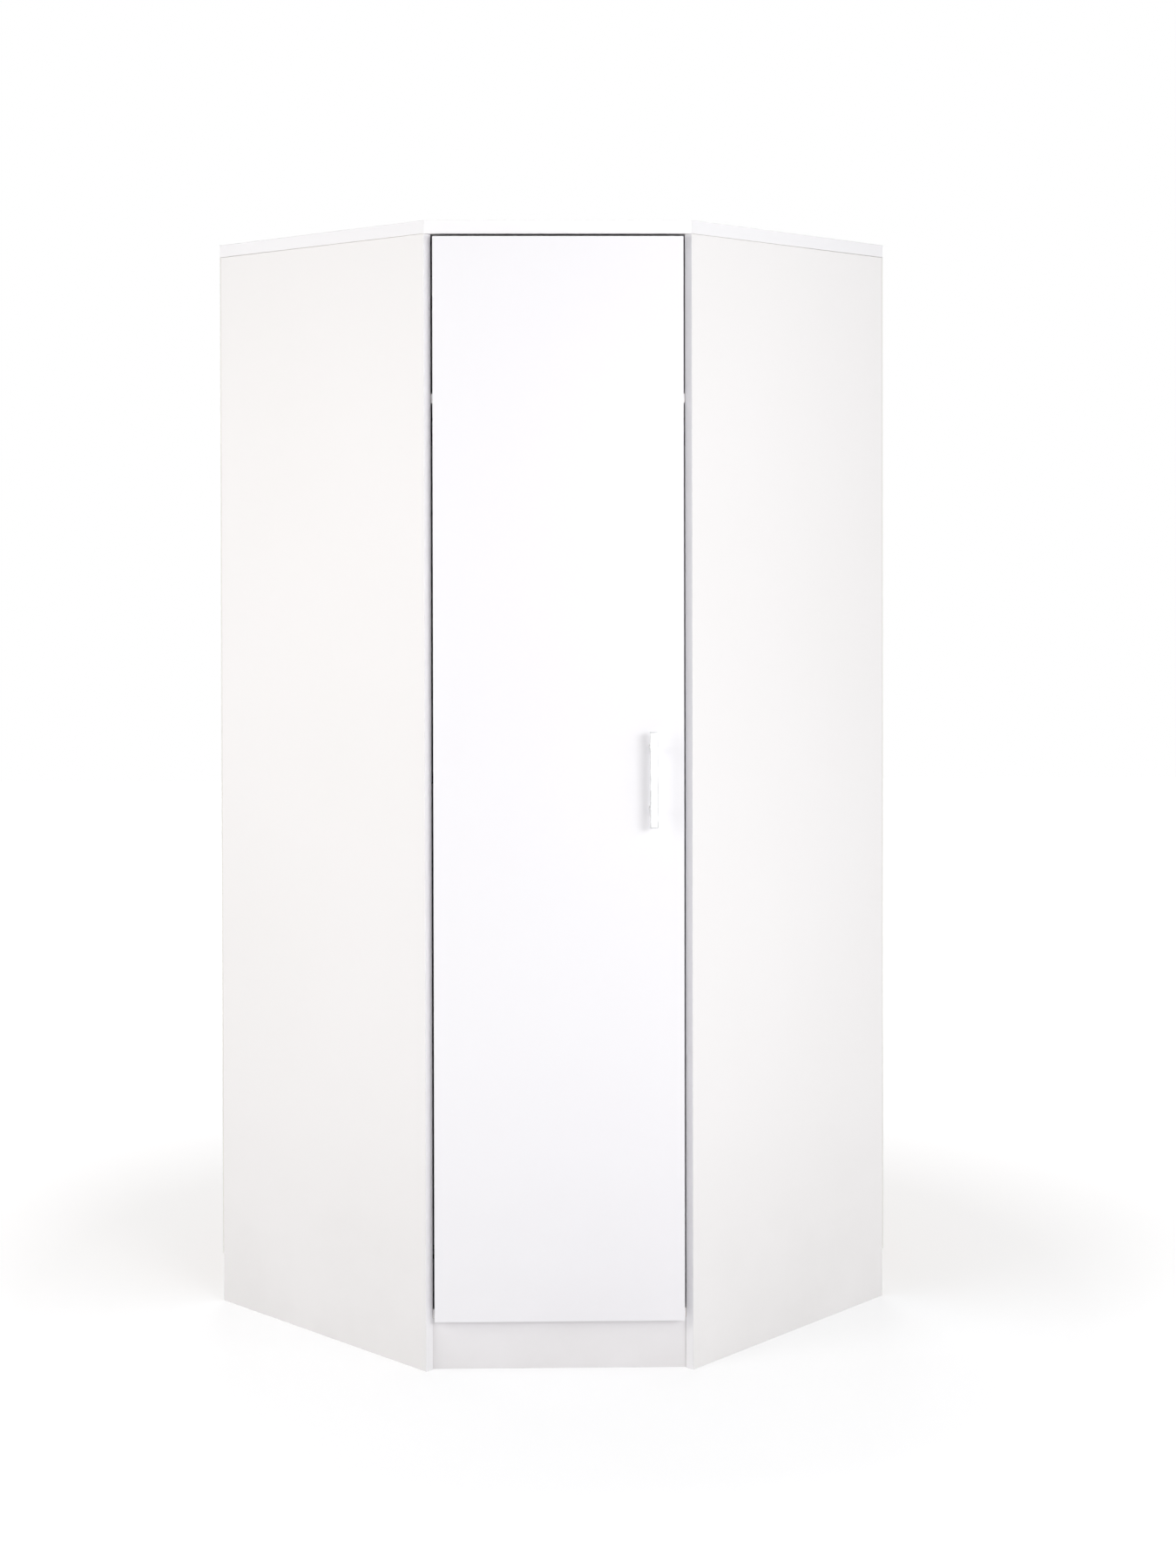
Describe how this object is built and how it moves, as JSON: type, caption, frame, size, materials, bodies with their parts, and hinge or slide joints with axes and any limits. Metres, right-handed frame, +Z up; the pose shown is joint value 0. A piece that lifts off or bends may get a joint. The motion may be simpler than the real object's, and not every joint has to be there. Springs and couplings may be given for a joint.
{
  "type": "corner wardrobe",
  "caption": "Five-sided corner wardrobe with a full-height hinged door across the corner, a hat shelf and a hanging rail.",
  "frame": {"origin": "on the floor, at the middle of the whole object's box, on the plane that halves the wardrobe", "axes": "+Z up, the door faces -Y, the room's corner is towards +Y, and the door's hinges are on the -X side"},
  "size_m": [1.1314, 0.9598, 1.8],
  "materials": {
    "white_board": "smooth white melamine on particle board, satin",
    "white_hardboard": "white-faced hardboard, brown fibre behind",
    "pine": "planed pine batten",
    "satin_handle": "satin metal, pale",
    "nickel_plate": "nickel-plated pressed steel",
    "zinc_screw": "bright zinc plating",
    "chrome_tube": "bright chrome",
    "clear_bumper": "clear soft plastic"
  },
  "bodies": {
    "carcass": {"left_side_panel": "white_board", "right_side_panel": "white_board", "top_panel": "white_board", "bottom_panel": "white_board", "hat_shelf": "white_board", "plinth_board": "white_board", "left_back_panel": "white_hardboard", "right_back_panel": "white_hardboard", "back_corner_post": "pine", "hanging_rail": "chrome_tube", "left_rail_bracket": "nickel_plate", "right_rail_bracket": "nickel_plate", "left_rail_screw_1": "zinc_screw", "left_rail_screw_2": "zinc_screw", "right_rail_screw_1": "zinc_screw", "right_rail_screw_2": "zinc_screw", "left_wall_bracket": "zinc_screw", "right_wall_bracket": "zinc_screw", "left_wall_bracket_screw": "zinc_screw", "right_wall_bracket_screw": "zinc_screw", "upper_hinge_arm": "nickel_plate", "middle_hinge_arm": "nickel_plate", "lower_hinge_arm": "nickel_plate", "upper_hinge_plate": "nickel_plate", "middle_hinge_plate": "nickel_plate", "lower_hinge_plate": "nickel_plate", "upper_arm_screw": "zinc_screw", "middle_arm_screw": "zinc_screw", "lower_arm_screw": "zinc_screw", "upper_plate_screw_1": "zinc_screw", "upper_plate_screw_2": "zinc_screw", "middle_plate_screw_1": "zinc_screw", "middle_plate_screw_2": "zinc_screw", "lower_plate_screw_1": "zinc_screw", "lower_plate_screw_2": "zinc_screw"},
    "door": {"door_panel": "white_board", "handle_bar": "satin_handle", "handle_screw_1": "zinc_screw", "handle_screw_2": "zinc_screw", "upper_bumper": "clear_bumper", "lower_bumper": "clear_bumper", "upper_hinge_cup": "nickel_plate", "middle_hinge_cup": "nickel_plate", "lower_hinge_cup": "nickel_plate", "upper_hinge_pin": "zinc_screw", "middle_hinge_pin": "zinc_screw", "lower_hinge_pin": "zinc_screw", "upper_cup_screw_1": "zinc_screw", "upper_cup_screw_2": "zinc_screw", "middle_cup_screw_1": "zinc_screw", "middle_cup_screw_2": "zinc_screw", "lower_cup_screw_1": "zinc_screw", "lower_cup_screw_2": "zinc_screw"}
  },
  "joints": [
    {"name": "door_hinge", "type": "hinge", "parent": "carcass", "child": "door", "pos_m": [-0.1888, -0.44387, 0.92725], "axis": [0, 0, -1], "range_deg": [0, 95]}
  ]
}
